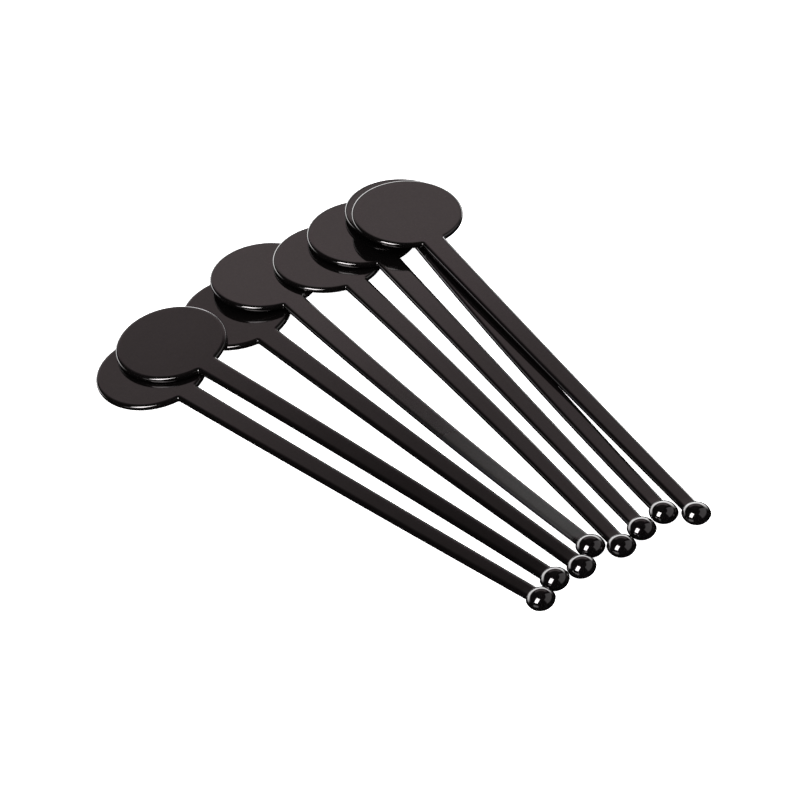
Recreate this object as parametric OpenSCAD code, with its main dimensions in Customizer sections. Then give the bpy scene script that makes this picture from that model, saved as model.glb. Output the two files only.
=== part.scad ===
// A pile of disc drink stirrers: each one is a single moulding with a round
// flat disc, a flat tapered shaft and a flattened ball. They lie fanned out,
// ball ends together, each disc resting on the ones laid before it.
// The table is z = 0, and the origin is below the middle of the pile.

/* [Stirrer] */
// Overall length, from the end of the ball to the far rim of the disc
stirrer_l = 178; // [150:1:200]
// Diameter of the disc
disc_d = 31.9; // [26:0.1:34]
// Thickness of the disc and the shaft
plate_t = 1.7; // [1.6:0.1:2.2]
// Width of the shaft where it meets the disc
root_w = 7.1; // [5:0.1:8]
// Width of the shaft where it meets the ball
tip_w = 4.7; // [3:0.1:5]
// Diameter of the ball, seen from above
ball_d = 8.1; // [6:0.1:9]
// Height of the ball, which is flatter than it is wide
ball_h = 5.6; // [4:0.1:7]
// Radius of the disc's rounded edges
edge_r = 0.75; // [0.2:0.05:0.8]

/* [Pile] */
// Heading of each stirrer, ball to disc, in degrees from +X
headings = [125.9, 125, 119.9, 117.2, 113, 111.2, 109.2, 111.8]; // [100 to 130 each]
// Way from each ball to the next, in degrees from +X
ball_steps = [54, 19, 64, -17, 39, 34, -20]; // [-25 to 65 each]
// Lean of each disc to its right, where it hangs off the disc below, in degrees
leans = [0, 0, 0, 6, 6, 8, 10, 9]; // [0 to 10 each]
// Sideways bend at the middle of each shaft, positive to its left
bends = [0.3, -0.7, 0.4, 1.6, -0.9, 0.2, 1.8, 0.5]; // [-2 to 2 each]
// Gap left between a ball and the ball or shaft beside it, where they touch
side_gap = 0.05; // [0.05:0.05:0.5]
// Gap left under a stirrer where it rests on another
rest_gap = 0.05; // [0.05:0.05:0.5]

/* [Hidden] */
// Order in which the stirrers were laid down, counting from 0
laid_order = [0, 2, 1, 3, 4, 5, 6, 7];

disc_r = disc_d / 2;
ball_r = ball_d / 2;
half_t = plate_t / 2;
// Distance from the ball's centre to the disc's centre
disc_x = stirrer_l - ball_r - disc_r;
// The shaft runs on into the disc, to this share of its radius from the centre
shaft_in = 0.8;
shaft_end = disc_x - shaft_in * disc_r;
// Straight pieces that each long edge of a bent shaft is made of
stations = 12;
// Angle between the points at which a disc's rim is tested for contact
rim_step = 6;
// A point this near an outline counts as inside it
on_edge = 0.1;
// Angle between the facets of a rounded disc edge, and of a ball from pole to pole
edge_step = 30;
ball_step = 10;
$fn = 96;

// Half width of the shaft, and its sideways bend, at a distance from the ball
function half_w(x) = (tip_w + (root_w - tip_w) * x / shaft_end) / 2;
function bend_at(x, bend) = 4 * bend * (x / disc_x) * (1 - x / disc_x);

// Points on the outline of a stirrer seen from above, in its own frame
rim = [for (a = [0 : rim_step : 360 - rim_step]) [disc_x + disc_r * cos(a), disc_r * sin(a)]];
function edges(bend) = [
    for (i = [1 : stations], side = [-1, 1])
        let (x = shaft_end * i / stations)
        [x, bend_at(x, bend) + side * half_w(x)]
];
function covers(p, bend) =
    norm(p - [disc_x, 0]) <= disc_r + on_edge ||
    (p.x > 0 && p.x < shaft_end && abs(p.y - bend_at(p.x, bend)) <= half_w(p.x) + on_edge);

// A pose is a list of seven values, and these are their places in it
X = 0;       // ball centre
Y = 1;
Z = 2;
HEADING = 3; // turn about the vertical
RISE = 4;    // slope of the shaft, up towards the disc
LEAN = 5;    // slope across the disc, up to its left
BEND = 6;    // sideways bend of the shaft

// A point of a stirrer's own plan moved to the table's plan, and back
function to_table(p, pose) = [
    pose[X] + p.x * cos(pose[HEADING]) - p.y * sin(pose[HEADING]),
    pose[Y] + p.x * sin(pose[HEADING]) + p.y * cos(pose[HEADING])
];
function to_own(p, pose) =
    let (dx = p.x - pose[X], dy = p.y - pose[Y])
    [dx * cos(pose[HEADING]) + dy * sin(pose[HEADING]), dy * cos(pose[HEADING]) - dx * sin(pose[HEADING])];

// Half the plate's thickness measured straight up, and the height of its top face
function half_up(pose) = half_t / (cos(pose[RISE]) * cos(pose[LEAN]));
function top_z(q, pose) = pose[Z] + q.x * tan(pose[RISE]) + q.y * tan(pose[LEAN]) + half_up(pose);

// Slope a stirrer needs, for the underside at one of its points to clear a height
function slope_over(q, z, pose) = (z + half_up(pose) - pose[Z] - q.y * tan(pose[LEAN])) / q.x;
// Slopes it needs to clear the table, and each stirrer laid before it
function slopes(pose, laid) = concat(
    [for (q = rim) slope_over(q, 0, pose)],
    [for (q = concat(rim, edges(pose[BEND])), under = laid)
        let (s = to_own(to_table(q, pose), under))
        if (covers(s, under[BEND])) slope_over(q, top_z(s, under) + rest_gap, pose)],
    [for (under = laid, s = concat(rim, edges(under[BEND])))
        let (q = to_own(to_table(s, under), pose))
        if (covers(q, pose[BEND])) slope_over(q, top_z(s, under) + rest_gap, pose)]
);

// Distance between two balls at which the shaft of one clears the other beside it.
// Turn is the angle from the shaft to the other ball, and bend is towards that ball.
// A lean pushes one long edge of the shaft out by a part of the thickness.
function past_shaft(turn, bend, lean) =
    let (x = ball_d * cos(turn), side = half_w(x) + half_t * sin(lean) + bend_at(x, bend))
    x > 0 ? (ball_r + side + side_gap) / sin(abs(turn)) : 0;
function ball_apart(i) = max(
    ball_d + side_gap,
    past_shaft(headings[i] - ball_steps[i], -bends[i], leans[i]),
    past_shaft(ball_steps[i] + 180 - headings[i + 1], bends[i + 1], leans[i + 1])
);

// Balls stand side by side on the table, each touching the next ball or its shaft
function ball_xy(i) = i == 0 ? [0, 0]
    : ball_xy(i - 1) + ball_apart(i - 1) * [cos(ball_steps[i - 1]), sin(ball_steps[i - 1])];
function ball_z(lean) = norm([ball_r * sin(lean), ball_h / 2 * cos(lean)]);

// Each stirrer drops until its disc or shaft rests on something laid before it
function flat_pose(i) = [ball_xy(i).x, ball_xy(i).y, ball_z(leans[i]), headings[i], 0, leans[i], bends[i]];
function settled(pose, laid) = [
    for (i = [0 : len(pose) - 1]) i == RISE ? atan(max(slopes(pose, laid))) : pose[i]
];
function lay(laid) = len(laid) == len(laid_order) ? laid
    : lay(concat(laid, [settled(flat_pose(laid_order[len(laid)]), laid)]));
poses = lay([]);
function pose_of(i) = poses[search(i, laid_order)[0]];

// Middle of the pile, from the outermost discs and balls
function disc_xy(pose) = to_table([disc_x * cos(pose[RISE]), 0], pose);
left_x = min([for (p = poses) disc_xy(p).x]) - disc_r;
right_x = max([for (p = poses) p[X]]) + ball_r;
near_y = min([for (p = poses) p[Y]]) - ball_r;
far_y = max([for (p = poses) disc_xy(p).y]) + disc_r;
middle = [(left_x + right_x) / 2, (near_y + far_y) / 2];

// Round flat disc with its edges rounded above and below
module disc() {
    lower_edge = [for (a = [-90 : edge_step : 0])
        [disc_r - edge_r * (1 - cos(a)), -half_t + edge_r * (1 + sin(a))]];
    upper_edge = [for (a = [0 : edge_step : 90])
        [disc_r - edge_r * (1 - cos(a)), half_t - edge_r * (1 - sin(a))]];
    translate([disc_x, 0, 0])
        rotate_extrude()
            polygon(concat([[0, -half_t]], lower_edge, upper_edge, [[0, half_t]]));
}

// Ball flattened from above, centred on the end of the shaft
module ball() {
    rotate_extrude()
        polygon([for (a = [-90 : ball_step : 90]) [ball_r * cos(a), ball_h / 2 * sin(a)]]);
}

// Flat shaft, wider towards the disc and bent slightly to one side
module shaft(bend) {
    along = [for (i = [0 : stations]) shaft_end * i / stations];
    left = [for (x = along) [x, bend_at(x, bend) + half_w(x)]];
    right = [for (i = [stations : -1 : 0]) let (x = along[i]) [x, bend_at(x, bend) - half_w(x)]];
    linear_extrude(plate_t, center = true)
        polygon(concat(right, left));
}

// One whole stirrer, a single moulding, in its place in the pile
module stirrer(i) {
    pose = pose_of(i);
    color("#1c1a1b")
        translate([pose[X] - middle.x, pose[Y] - middle.y, pose[Z]])
            rotate([0, 0, pose[HEADING]])
                rotate([0, -pose[RISE], 0])
                    rotate([pose[LEAN], 0, 0])
                        union() {
                            disc();
                            shaft(pose[BEND]);
                            ball();
                        }
}

stirrer(0);  // stirrer_1
stirrer(1);  // stirrer_2
stirrer(2);  // stirrer_3
stirrer(3);  // stirrer_4
stirrer(4);  // stirrer_5
stirrer(5);  // stirrer_6
stirrer(6);  // stirrer_7
stirrer(7);  // stirrer_8
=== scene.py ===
"""Looks for the pile of disc drink stirrers: eight glossy black mouldings on a white table."""

import math

import bmesh
import bpy
import numpy as np
from mathutils import Matrix, Vector


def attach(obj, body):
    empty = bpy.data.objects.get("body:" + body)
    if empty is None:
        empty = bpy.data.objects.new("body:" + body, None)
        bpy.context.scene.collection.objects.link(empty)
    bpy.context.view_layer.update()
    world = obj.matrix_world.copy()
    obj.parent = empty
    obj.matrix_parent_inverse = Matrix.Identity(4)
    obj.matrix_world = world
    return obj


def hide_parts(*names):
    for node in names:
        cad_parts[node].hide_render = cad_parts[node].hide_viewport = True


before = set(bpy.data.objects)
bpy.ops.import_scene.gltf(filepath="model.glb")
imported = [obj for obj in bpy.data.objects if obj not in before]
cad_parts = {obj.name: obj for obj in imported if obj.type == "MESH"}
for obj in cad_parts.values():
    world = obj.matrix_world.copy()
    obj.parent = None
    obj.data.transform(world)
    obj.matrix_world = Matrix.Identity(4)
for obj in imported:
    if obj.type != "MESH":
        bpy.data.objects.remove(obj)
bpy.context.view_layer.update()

MM = 0.001
NODES = ["stirrer_%d" % k for k in range(1, 9)]

# All lengths below are in millimetres.
EDGE_IN = 1.25      # rounding of every long edge: how far in it starts
EDGE_POWER = 2.7    # 2 would be a plain ellipse; more keeps the edge fuller
CORNER_R = 0.35     # fillet in the corners between shaft and disc
BALL_R = 4.05
BALL_RIDGE = 9      # degrees: how far the two halves of a ball fall short of meeting upright
EDGE_STEPS = 12     # facets in each quarter of a rounded edge
SHAFT_STEPS = 44
CORNER_STEPS = 8
DISC_STEPS = 120
WORN = {"stirrer_4": 1.0}    # scuffed towards the ball
WORN_TO = 0.7       # scuffing ends at this share of the way from ball to disc
BALL_EDGE = 0.8     # the shaft's looks start here, in ball radii from the ball's centre
BALL_BLEND = 0.2    # and are complete after this much more
BALL_TURNS = 72
BALL_STEPS = 16     # facets from the ridge of a ball to its pole


# ---------------------------------------------------------------- where the CAD stirrers lie

def read_stirrer(node):
    """Placement matrix (metres) and sizes (mm) of one stirrer, measured on its CAD mesh."""
    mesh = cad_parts[node].data
    co = np.array([v.co for v in mesh.vertices]) / MM
    normals = np.array([p.normal for p in mesh.polygons])
    areas = np.array([p.area for p in mesh.polygons])
    up = normals[np.argmax(areas * (normals[:, 2] > 0.5))]
    near = normals @ up > 0.9999
    up = (normals[near] * areas[near, None]).sum(0)
    up /= np.linalg.norm(up)

    height = co @ up
    ball = (co[np.argmax(height)] + co[np.argmin(height)]) / 2
    height = height - ball @ up
    flat = co - np.outer(height, up)
    away = np.linalg.norm(flat - ball, axis=1)
    ahead = flat[np.argmax(away)] - ball
    ahead /= np.linalg.norm(ahead)
    side = np.cross(up, ahead)

    # circle through the widest part of the disc's rim
    top = np.median(height[(height > 0.5) & (away > 20)])
    rim = (np.abs(height) < top / 2) & (away > away.max() - 25)
    u, v = (flat[rim] - ball) @ ahead, (flat[rim] - ball) @ side
    a, b, c = np.linalg.lstsq(np.c_[u, v, np.ones(len(u))], u * u + v * v, rcond=None)[0]
    centre = ball + ahead * a / 2 + side * b / 2
    disc_r = math.sqrt(c + a * a / 4 + b * b / 4)

    ahead = (centre - ball) / np.linalg.norm(centre - ball)
    side = np.cross(up, ahead)
    disc_x = float(np.linalg.norm(centre - ball))
    x, y = (co - ball) @ ahead, (co - ball) @ side
    edge = (np.abs(height - top) < 0.05) & (x > 0.1 * disc_x) & (x < 0.85 * disc_x)
    x, y = x[edge], y[edge]
    s = np.sign(y)
    bow = 4 * (x / disc_x) * (1 - x / disc_x)
    tip, taper, bend = np.linalg.lstsq(np.c_[s, s * x, bow], y, rcond=None)[0]

    rot = Matrix((ahead, side, up)).transposed().to_4x4()
    return {
        "matrix": Matrix.Translation(Vector(ball) * MM) @ rot,
        "disc_x": disc_x, "disc_r": disc_r, "half_t": float(top),
        "tip": float(tip), "taper": float(taper), "bend": float(bend),
        "ball_h": float(height.max()),
    }


# ---------------------------------------------------------------- one moulding

def outline(d):
    """Loop round the plate seen from above, anticlockwise: (point, outward normal), and the
    number of points along each long edge of the shaft."""
    big = d["disc_x"]

    def mid(x):
        return 4 * d["bend"] * (x / big) * (1 - x / big)

    def slope(x, s):
        return 4 * d["bend"] / big * (1 - 2 * x / big) + s * d["taper"]

    def edge(x, s):
        m = slope(x, s)
        n = Vector((-s * m, s)).normalized()
        return Vector((x, mid(x) + s * (d["tip"] + d["taper"] * x))), n

    centre = Vector((big, 0))

    def corner(s):
        """Where the fillet leaves the shaft, and its centre."""
        lo, hi = big - d["disc_r"] - 3, big - 0.5 * d["disc_r"]
        for _ in range(50):
            x = (lo + hi) / 2
            p, n = edge(x, s)
            c = p + n * CORNER_R
            if (c - centre).length > d["disc_r"] + CORNER_R:
                lo = x
            else:
                hi = x
        return x, c

    x_r, c_r = corner(-1)
    x_l, c_l = corner(1)

    def arc(c, start, end, steps):
        a0 = math.atan2(start.y - c.y, start.x - c.x)
        a1 = math.atan2(end.y - c.y, end.x - c.x)
        turn = (a1 - a0 + math.pi) % (2 * math.pi) - math.pi
        r = (start - c).length
        for i in range(1, steps):
            a = a0 + turn * i / steps
            p = c + Vector((math.cos(a), math.sin(a))) * r
            yield p, (c - p).normalized()

    on_disc_r = centre + (c_r - centre).normalized() * d["disc_r"]
    on_disc_l = centre + (c_l - centre).normalized() * d["disc_r"]
    a_r = math.atan2(on_disc_r.y, on_disc_r.x - big)
    a_l = math.atan2(on_disc_l.y, on_disc_l.x - big)

    right = [edge(x_r * i / SHAFT_STEPS, -1) for i in range(SHAFT_STEPS + 1)]
    left = [edge(x_l * i / SHAFT_STEPS, 1) for i in range(SHAFT_STEPS + 1)]
    loop = list(right)
    loop += arc(c_r, right[-1][0], on_disc_r, CORNER_STEPS)
    for i in range(DISC_STEPS + 1):
        a = a_r + (a_l - a_r) * i / DISC_STEPS
        n = Vector((math.cos(a), math.sin(a)))
        loop.append((centre + n * d["disc_r"], n))
    loop += arc(c_l, on_disc_l, left[-1][0], CORNER_STEPS)
    loop += reversed(left)
    return loop, len(right)


def edge_profile(half_t):
    """(inset, height) from the flat top round the rounded edge to the flat underside."""
    band = 0.03
    power = 2 / EDGE_POWER
    quarter = [math.radians(90 * i / EDGE_STEPS) for i in range(EDGE_STEPS + 1)]
    upper = [(EDGE_IN * (1 - math.sin(a) ** power), band + (half_t - band) * max(0, math.cos(a)) ** power)
             for a in quarter]
    flat = [(EDGE_IN + 0.06, half_t)]
    return flat + upper + [(i, -z) for i, z in reversed(upper)] + [(flat[0][0], -half_t)]


def plate(d):
    """Disc and shaft in one piece."""
    bm = bmesh.new()
    loop, along = outline(d)
    rings = [
        [bm.verts.new((p.x - n.x * inset, p.y - n.y * inset, z)) for p, n in loop]
        for inset, z in edge_profile(d["half_t"])
    ]
    count = len(loop)
    for a, b in zip(rings, rings[1:]):
        for i in range(count - 1):
            bm.faces.new((a[i], b[i], b[i + 1], a[i + 1]))
    for ring, flip in ((rings[0], False), (rings[-1], True)):
        for i in range(along - 1):
            quad = [ring[i], ring[i + 1], ring[count - 2 - i], ring[count - 1 - i]]
            bm.faces.new(reversed(quad) if flip else quad)
        disc = ring[along - 1:count - along + 1]
        bm.faces.new(reversed(disc) if flip else disc)
    bm.faces.new([r[-1] for r in rings] + [r[0] for r in reversed(rings)])
    bmesh.ops.recalc_face_normals(bm, faces=bm.faces)
    return to_mesh(bm, "plate")


def ball(d, radius):
    """Flattened ball whose two halves meet in a faint ridge round its middle."""
    bm = bmesh.new()
    start = math.radians(BALL_RIDGE)
    up = [start + (math.pi / 2 - start) * i / BALL_STEPS for i in range(BALL_STEPS)]
    half = [
        (radius * math.cos(a) / math.cos(start),
         d["ball_h"] * (math.sin(a) - math.sin(start)) / (1 - math.sin(start)))
        for a in up
    ]
    profile = [(r, -z) for r, z in reversed(half[1:])] + half
    turns = [2 * math.pi * i / BALL_TURNS for i in range(BALL_TURNS)]
    rings = [[bm.verts.new((r * math.cos(a), r * math.sin(a), z)) for a in turns] for r, z in profile]
    for a, b in zip(rings, rings[1:]):
        for i in range(BALL_TURNS):
            j = (i + 1) % BALL_TURNS
            bm.faces.new((a[i], a[j], b[j], b[i]))
    for ring, z in ((rings[0], -d["ball_h"]), (rings[-1], d["ball_h"])):
        pole = bm.verts.new((0, 0, z))
        for i in range(BALL_TURNS):
            bm.faces.new((ring[i], ring[(i + 1) % BALL_TURNS], pole))
    bmesh.ops.recalc_face_normals(bm, faces=bm.faces)
    return to_mesh(bm, "ball")


def to_mesh(bm, name):
    """The bmesh, scaled from millimetres to metres, as an object."""
    bmesh.ops.scale(bm, vec=(MM, MM, MM), verts=bm.verts)
    mesh = bpy.data.meshes.new(name)
    bm.to_mesh(mesh)
    bm.free()
    obj = bpy.data.objects.new(name, mesh)
    bpy.context.scene.collection.objects.link(obj)
    return obj


def moulding(node):
    """One whole stirrer, lying where its CAD node lies."""
    d = read_stirrer(node)
    body = plate(d)
    tip = ball(d, BALL_R)
    join = body.modifiers.new("join", "BOOLEAN")
    join.operation = "UNION"
    join.solver = "EXACT"
    join.object = tip
    bpy.context.view_layer.update()
    joined = bpy.data.meshes.new_from_object(body.evaluated_get(bpy.context.evaluated_depsgraph_get()))
    body.modifiers.clear()
    body.data = joined
    bpy.data.objects.remove(tip)
    joined.polygons.foreach_set("use_smooth", [True] * len(joined.polygons))
    joined.set_sharp_from_angle(angle=math.radians(28))
    body.name = node + "_moulding"
    joined.name = body.name

    # for the material: how far along from ball to disc, whether off the ball, and how scuffed
    local = joined.attributes.new("local", "FLOAT_VECTOR", "POINT")
    worn = WORN.get(node, 0.0)
    for v, at in zip(joined.vertices, local.data):
        along = v.co.x / (d["disc_x"] * MM)
        off_ball = min(1.0, max(0.0, v.co.x / MM / BALL_R - BALL_EDGE) / BALL_BLEND)
        at.vector = (along, off_ball, worn * off_ball * min(1.0, max(0.0, 1 - along / WORN_TO)))
    joined.transform(d["matrix"])
    return body


# ---------------------------------------------------------------- materials

def new_material(name):
    mat = bpy.data.materials.new(name)
    mat.use_nodes = True
    nt = mat.node_tree
    nt.nodes.clear()
    out = nt.nodes.new("ShaderNodeOutputMaterial")
    bsdf = nt.nodes.new("ShaderNodeBsdfPrincipled")
    nt.links.new(bsdf.outputs["BSDF"], out.inputs["Surface"])
    return mat, nt, bsdf


def ramp(nt, value, low, high):
    """Maps a 0 to 1 value onto low to high."""
    node = nt.nodes.new("ShaderNodeMapRange")
    nt.links.new(value, node.inputs["Value"])
    node.inputs["To Min"].default_value = low
    node.inputs["To Max"].default_value = high
    return node.outputs["Result"]


def noise(nt, vector, scale, detail=2.0, rough=0.5):
    node = nt.nodes.new("ShaderNodeTexNoise")
    node.inputs["Scale"].default_value = scale
    node.inputs["Detail"].default_value = detail
    node.inputs["Roughness"].default_value = rough
    nt.links.new(vector, node.inputs["Vector"])
    return node.outputs["Fac"]


def black_plastic():
    """Polished moulded polystyrene: near black, sharp reflections, a little uneven. Balls and
    discs reflect fully; along each shaft the reflection is dimmed more and more towards the ball, a
    painted shade."""
    # painted shade: the specular level falls from the discs towards the ball, darkening the shafts'
    # reflections
    full, painted_shade_level = 0.5, 0.25
    painted_shade_to, full_from = 0.40, 1.0      # shares of the way from ball to disc
    worn_roughness = 0.47
    mat, nt, bsdf = new_material("black_plastic")
    place = nt.nodes.new("ShaderNodeTexCoord").outputs["Object"]
    info = nt.nodes.new("ShaderNodeObjectInfo").outputs["Random"]
    shift = nt.nodes.new("ShaderNodeVectorMath")
    shift.operation = "ADD"
    nt.links.new(place, shift.inputs[0])
    nt.links.new(info, shift.inputs[1])
    at = shift.outputs["Vector"]

    local = nt.nodes.new("ShaderNodeAttribute")
    local.attribute_name = "local"
    parts = nt.nodes.new("ShaderNodeSeparateXYZ")
    nt.links.new(local.outputs["Vector"], parts.inputs[0])
    shaft_to_disc = nt.nodes.new("ShaderNodeMapRange")
    shaft_to_disc.interpolation_type = "SMOOTHSTEP"
    nt.links.new(parts.outputs["X"], shaft_to_disc.inputs["Value"])
    reach = (("From Min", painted_shade_to), ("From Max", full_from), ("To Min", painted_shade_level), ("To Max", full))
    for socket, value in reach:
        shaft_to_disc.inputs[socket].default_value = value
    mottle = nt.nodes.new("ShaderNodeMath")
    mottle.operation = "MULTIPLY"
    nt.links.new(shaft_to_disc.outputs["Result"], mottle.inputs[0])
    nt.links.new(ramp(nt, noise(nt, at, 1500, 2, 0.7), 0.78, 1.22), mottle.inputs[1])
    on_ball = nt.nodes.new("ShaderNodeMix")
    on_ball.data_type = "FLOAT"
    nt.links.new(parts.outputs["Y"], on_ball.inputs["Factor"])
    on_ball.inputs["A"].default_value = full
    nt.links.new(mottle.outputs[0], on_ball.inputs["B"])
    # balls keep full reflection; off the ball the painted shade along the shaft, with random mottling,
    # sets the specular level
    nt.links.new(on_ball.outputs["Result"], bsdf.inputs["Specular IOR Level"])

    cloud = noise(nt, at, 60, 3)
    mix = nt.nodes.new("ShaderNodeMix")
    mix.data_type = "RGBA"
    mix.inputs["A"].default_value = (0.0008, 0.0007, 0.0007, 1)
    mix.inputs["B"].default_value = (0.0014, 0.0012, 0.0012, 1)
    nt.links.new(cloud, mix.inputs["Factor"])
    nt.links.new(mix.outputs["Result"], bsdf.inputs["Base Color"])
    rough = nt.nodes.new("ShaderNodeMath")
    rough.operation = "MULTIPLY_ADD"
    nt.links.new(parts.outputs["Z"], rough.inputs[0])
    rough.inputs[1].default_value = worn_roughness
    nt.links.new(ramp(nt, noise(nt, at, 220, 4, 0.6), 0.04, 0.11), rough.inputs[2])
    nt.links.new(rough.outputs[0], bsdf.inputs["Roughness"])
    bsdf.inputs["IOR"].default_value = 1.5
    bsdf.inputs["Specular Tint"].default_value = (1.0, 0.95, 0.955, 1)

    swell = nt.nodes.new("ShaderNodeBump")
    swell.inputs["Strength"].default_value = 0.25
    swell.inputs["Distance"].default_value = 0.00004
    nt.links.new(noise(nt, at, 90, 1), swell.inputs["Height"])
    grain = nt.nodes.new("ShaderNodeBump")
    grain.inputs["Strength"].default_value = 0.12
    grain.inputs["Distance"].default_value = 0.000004
    nt.links.new(noise(nt, at, 2600, 2), grain.inputs["Height"])
    nt.links.new(swell.outputs["Normal"], grain.inputs["Normal"])
    nt.links.new(grain.outputs["Normal"], bsdf.inputs["Normal"])
    return mat


def table_white():
    mat, nt, bsdf = new_material("table_white")
    bsdf.inputs["Emission Color"].default_value = (1, 1, 1, 1)
    bsdf.inputs["Emission Strength"].default_value = 0.93   # lit from below, like a light table
    place = nt.nodes.new("ShaderNodeTexCoord").outputs["Object"]
    mix = nt.nodes.new("ShaderNodeMix")
    mix.data_type = "RGBA"
    mix.inputs["A"].default_value = (0.90, 0.90, 0.90, 1)
    mix.inputs["B"].default_value = (0.93, 0.93, 0.93, 1)
    nt.links.new(noise(nt, place, 14), mix.inputs["Factor"])
    nt.links.new(mix.outputs["Result"], bsdf.inputs["Base Color"])
    bsdf.inputs["Roughness"].default_value = 1.0
    bsdf.inputs["Specular IOR Level"].default_value = 0.0
    return mat


# ---------------------------------------------------------------- build the pile

plastic = black_plastic()
for name in NODES:
    piece = moulding(name)
    piece.data.materials.clear()
    piece.data.materials.append(plastic)
    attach(piece, name)
    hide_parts(name)


# ---------------------------------------------------------------- table, light and camera

def direction(azimuth, elevation):
    """Unit vector. Azimuth 0 is +Y, away from the camera, and 90 is +X."""
    a, e = math.radians(azimuth), math.radians(elevation)
    return Vector((math.sin(a) * math.cos(e), math.cos(a) * math.cos(e), math.sin(e)))


bpy.ops.mesh.primitive_plane_add(size=12, location=(0, 0, -0.0001))
table = bpy.context.object
table.name = "table"
table.data.materials.append(table_white())
table.visible_glossy = False

key_data = bpy.data.lights.new("key", "AREA")
key_data.shape = "RECTANGLE"
key_data.size, key_data.size_y = 0.50, 0.80
KEY_RADIANCE = 34
key_data.energy = KEY_RADIANCE * math.pi * key_data.size * key_data.size_y
key = bpy.data.objects.new("key", key_data)
key.location = direction(-132, 54) * 1.2
key.rotation_euler = (-key.location).to_track_quat("-Z", "Y").to_euler()
key.visible_diffuse = False
key.visible_camera = False
bpy.context.scene.collection.objects.link(key)


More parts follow.
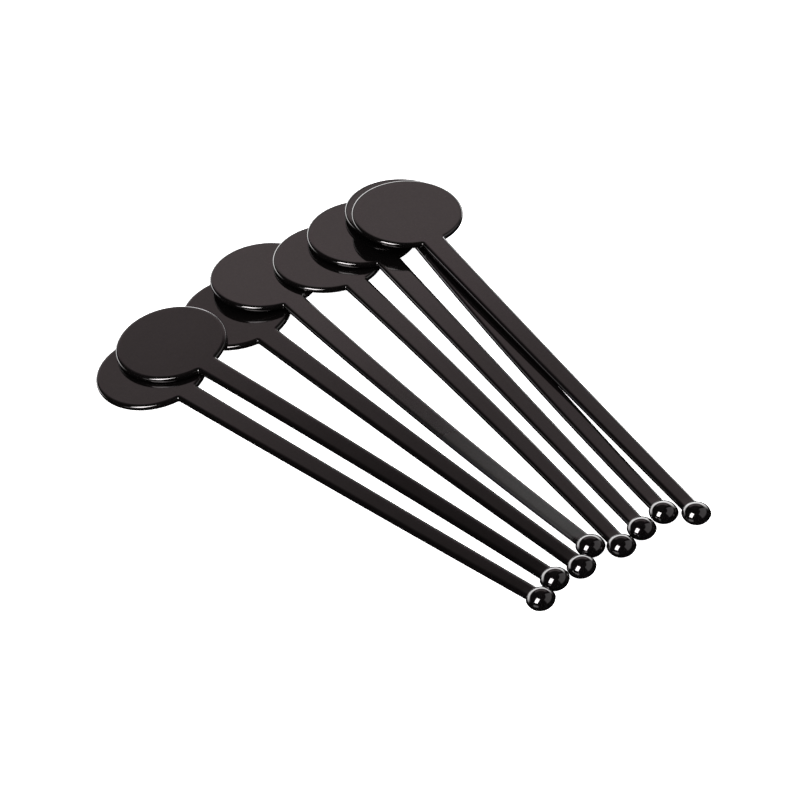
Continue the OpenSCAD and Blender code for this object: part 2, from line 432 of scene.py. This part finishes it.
def build_world():
    """White light for the table. Reflections see a soft panel behind the pile, a bright band
    below the panel, a grey card to the right, a low light behind the camera on its left, and
    darkness elsewhere."""
    world = bpy.data.worlds.new("studio")
    bpy.context.scene.world = world
    world.use_nodes = True
    nt = world.node_tree
    nt.nodes.clear()

    def math_node(op, *inputs):
        node = nt.nodes.new("ShaderNodeMath")
        node.operation = op
        for slot, value in zip(node.inputs, inputs):
            if isinstance(value, (int, float)):
                slot.default_value = value
            else:
                nt.links.new(value, slot)
        return node.outputs[0]

    def fade(value, start, end):
        """0 at start, 1 at end, eased, in either order."""
        node = nt.nodes.new("ShaderNodeMapRange")
        node.interpolation_type = "SMOOTHSTEP"
        nt.links.new(value, node.inputs["Value"])
        low, high = min(start, end), max(start, end)
        node.inputs["From Min"].default_value = low
        node.inputs["From Max"].default_value = high
        node.inputs["To Min"].default_value = 0.0 if start < end else 1.0
        node.inputs["To Max"].default_value = 1.0 if start < end else 0.0
        return node.outputs["Result"]

    def times(*values):
        total = values[0]
        for v in values[1:]:
            total = math_node("MULTIPLY", total, v)
        return total

    coord = nt.nodes.new("ShaderNodeTexCoord")
    axes = nt.nodes.new("ShaderNodeSeparateXYZ")
    nt.links.new(coord.outputs["Generated"], axes.inputs[0])
    az = math_node("DEGREES", math_node("ARCTAN2", axes.outputs["X"], axes.outputs["Y"]))
    el = math_node("DEGREES", math_node("ARCSINE", axes.outputs["Z"]))

    curve = nt.nodes.new("ShaderNodeFloatCurve")
    nt.links.new(math_node("DIVIDE", el, 90.0), curve.inputs["Value"])
    # how bright the panel is at each elevation, in degrees, set by brightness readings
    levels = [
        (0, 0.02), (26, 0.02), (28.5, 0.74), (30, 0.84), (33, 0.83), (35, 0.77), (36, 0.68), (38, 0.63),
        (39.2, 0.58), (39.8, 0.51), (40.3, 0.40), (40.7, 0.30), (41.5, 0.20), (43, 0.12), (46, 0.06),
        (90, 0.02),
    ]
    points = curve.mapping.curves[0].points
    while len(points) < len(levels):
        points.new(0.5, 0.5)
    for point, (x, y) in zip(points, levels):
        point.location = (x / 90, y)
        point.handle_type = "VECTOR"
    curve.mapping.update()

    panel = times(curve.outputs["Value"], fade(az, -26, -14), fade(az, 44, 30), fade(el, 0, 2))
    beyond = times(6.0, fade(el, 21, 15), fade(el, -9, -1), fade(az, -80, -50), fade(az, 62, 28))
    card = times(1.0, fade(el, 14, 19), fade(el, 62, 57), fade(az, 50, 58), fade(az, 144, 136))
    low = times(2.2, fade(el, -4, 2), fade(el, 20, 12), fade(az, -154, -146), fade(az, -112, -120))
    neutral = math_node("ADD", math_node("ADD", beyond, card), low)
    seen = math_node("ADD", panel, neutral)

    path = nt.nodes.new("ShaderNodeLightPath")
    plain = math_node("MULTIPLY_ADD", path.outputs["Is Camera Ray"], -2.0, 3.0)
    mix = nt.nodes.new("ShaderNodeMix")
    mix.data_type = "FLOAT"
    nt.links.new(path.outputs["Is Glossy Ray"], mix.inputs["Factor"])
    nt.links.new(plain, mix.inputs["A"])
    nt.links.new(seen, mix.inputs["B"])
    back = nt.nodes.new("ShaderNodeBackground")
    nt.links.new(mix.outputs["Result"], back.inputs["Strength"])
    tint = nt.nodes.new("ShaderNodeMix")
    tint.data_type = "RGBA"
    tint.inputs["A"].default_value = (1, 1, 1, 1)
    tint.inputs["B"].default_value = (1.0, 0.86, 0.87, 1)
    nt.links.new(math_node("DIVIDE", panel, math_node("ADD", seen, 0.001)), tint.inputs["Factor"])
    nt.links.new(tint.outputs["Result"], back.inputs["Color"])
    out = nt.nodes.new("ShaderNodeOutputWorld")
    nt.links.new(back.outputs[0], out.inputs["Surface"])


build_world()

# distances in millimetres; distance, angles, target and scale were fitted to the view
CAM_DISTANCE = 1669.1
CAM_ELEVATION = math.radians(40.10)
CAM_ROLL = math.radians(11.74)
CAM_TARGET = Vector((3.62, 2.73, 0))
CAM_SCALE = 3.605           # pixels of the render to a millimetre at the target
FRAME_WIDTH = 800

cam_data = bpy.data.cameras.new("camera")
cam_data.sensor_width = 36
cam_data.lens = CAM_SCALE * CAM_DISTANCE * cam_data.sensor_width / FRAME_WIDTH
cam_data.clip_start, cam_data.clip_end = 0.05, 20
cam = bpy.data.objects.new("camera", cam_data)
across = Vector((1, 0, 0))
upward = Vector((0, math.sin(CAM_ELEVATION), math.cos(CAM_ELEVATION)))
behind = Vector((0, -math.cos(CAM_ELEVATION), math.sin(CAM_ELEVATION)))
cam_x = across * math.cos(CAM_ROLL) - upward * math.sin(CAM_ROLL)
cam_y = across * math.sin(CAM_ROLL) + upward * math.cos(CAM_ROLL)
turn = Matrix((cam_x, cam_y, behind)).transposed().to_4x4()
cam.matrix_world = Matrix.Translation((CAM_TARGET + behind * CAM_DISTANCE) * MM) @ turn
bpy.context.scene.collection.objects.link(cam)
bpy.context.scene.camera = cam

bpy.context.scene.view_settings.view_transform = "Standard"
bpy.context.scene.view_settings.look = "None"
